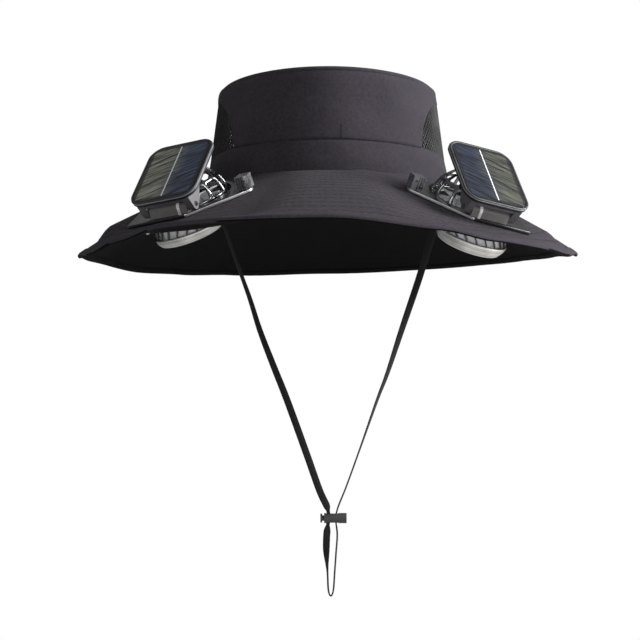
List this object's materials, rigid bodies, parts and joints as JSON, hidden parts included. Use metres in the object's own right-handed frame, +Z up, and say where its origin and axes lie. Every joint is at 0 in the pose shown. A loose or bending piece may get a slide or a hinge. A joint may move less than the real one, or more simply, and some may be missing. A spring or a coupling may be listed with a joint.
{
  "type": "solar fan hat",
  "caption": "Wide-brimmed cloth sun hat with net vents, tilting ball fans set in the brim under hinged solar panels, and a chin strap with a cord lock.",
  "frame": {"origin": "middle of the head opening, in the plane of the seam between crown and brim", "axes": "+Z up, -Y to the front of the hat where the fan units are, +X to the left of a wearer looking forward"},
  "size_m": [0.3416, 0.3815, 0.3478],
  "materials": {
    "cloth": "matte woven cloth",
    "net": "open diamond net",
    "cord": "flat braided cord",
    "gloss_black": "gloss black",
    "plated": "bright metal plating on moulded plastic",
    "chrome": "polished",
    "blades": "satin light grey",
    "matte_black": "fine satin",
    "arm_grey": "fine grained",
    "solar": "clear gloss over dark blue cells"
  },
  "bodies": {
    "hat": {"crown_top": "cloth", "crown_wall": "cloth", "crown_band": "cloth", "vent_left": "net", "vent_right": "net", "brim": "cloth", "brim_edge": "cloth", "chin_strap": "cord", "toggle_body": "matte_black", "frame_left": "gloss_black", "clip_left": "plated", "panel_base_left": "matte_black", "hinge_pin_left": "chrome", "frame_right": "gloss_black", "clip_right": "plated", "panel_base_right": "matte_black", "hinge_pin_right": "chrome"},
    "fan_left": {"fan_cage_left": "plated", "fan_shroud_left": "plated", "motor_left": "chrome"},
    "rotor_left": {"rotor_left": "blades"},
    "panel_left": {"panel_arm_left": "arm_grey", "panel_tray_left": "gloss_black", "solar_cells_left": "solar"},
    "fan_right": {"fan_cage_right": "plated", "fan_shroud_right": "plated", "motor_right": "chrome"},
    "rotor_right": {"rotor_right": "blades"},
    "panel_right": {"panel_arm_right": "arm_grey", "panel_tray_right": "gloss_black", "solar_cells_right": "solar"},
    "toggle_button": {"toggle_button": "matte_black"}
  },
  "joints": [
    {"name": "fan_tilt_left", "type": "hinge", "parent": "hat", "child": "fan_left", "pos_m": [-0.086, -0.095, -0.021], "axis": [-0.3259, -0.8256, -0.4606], "range_deg": [-5, 45]},
    {"name": "rotor_spin_left", "type": "hinge", "parent": "fan_left", "child": "rotor_left", "pos_m": [-0.086, -0.095, -0.021], "axis": [-0.3269, -0.3587, 0.8743], "continuous": true},
    {"name": "panel_hinge_left", "type": "hinge", "parent": "hat", "child": "panel_left", "pos_m": [-0.09561, -0.12551, -0.02681], "axis": [0.903, -0.4162, 0.107], "range_deg": [0, 70]},
    {"name": "fan_tilt_right", "type": "hinge", "parent": "hat", "child": "fan_right", "pos_m": [0.0882, -0.095, -0.0229], "axis": [0.3144, -0.8188, -0.4804], "range_deg": [-45, 3]},
    {"name": "rotor_spin_right", "type": "hinge", "parent": "fan_right", "child": "rotor_right", "pos_m": [0.0882, -0.095, -0.0229], "axis": [0.3125, -0.3886, 0.8668], "continuous": true},
    {"name": "panel_hinge_right", "type": "hinge", "parent": "hat", "child": "panel_right", "pos_m": [0.09794, -0.12535, -0.02933], "axis": [0.8908, 0.4294, -0.1488], "range_deg": [0, 70]},
    {"name": "toggle_press", "type": "slide", "parent": "hat", "child": "toggle_button", "axis": [1, 0, 0], "range_m": [0, 0.0008], "stiffness_N_per_m": 1500, "springref_m": -0.001}
  ]
}
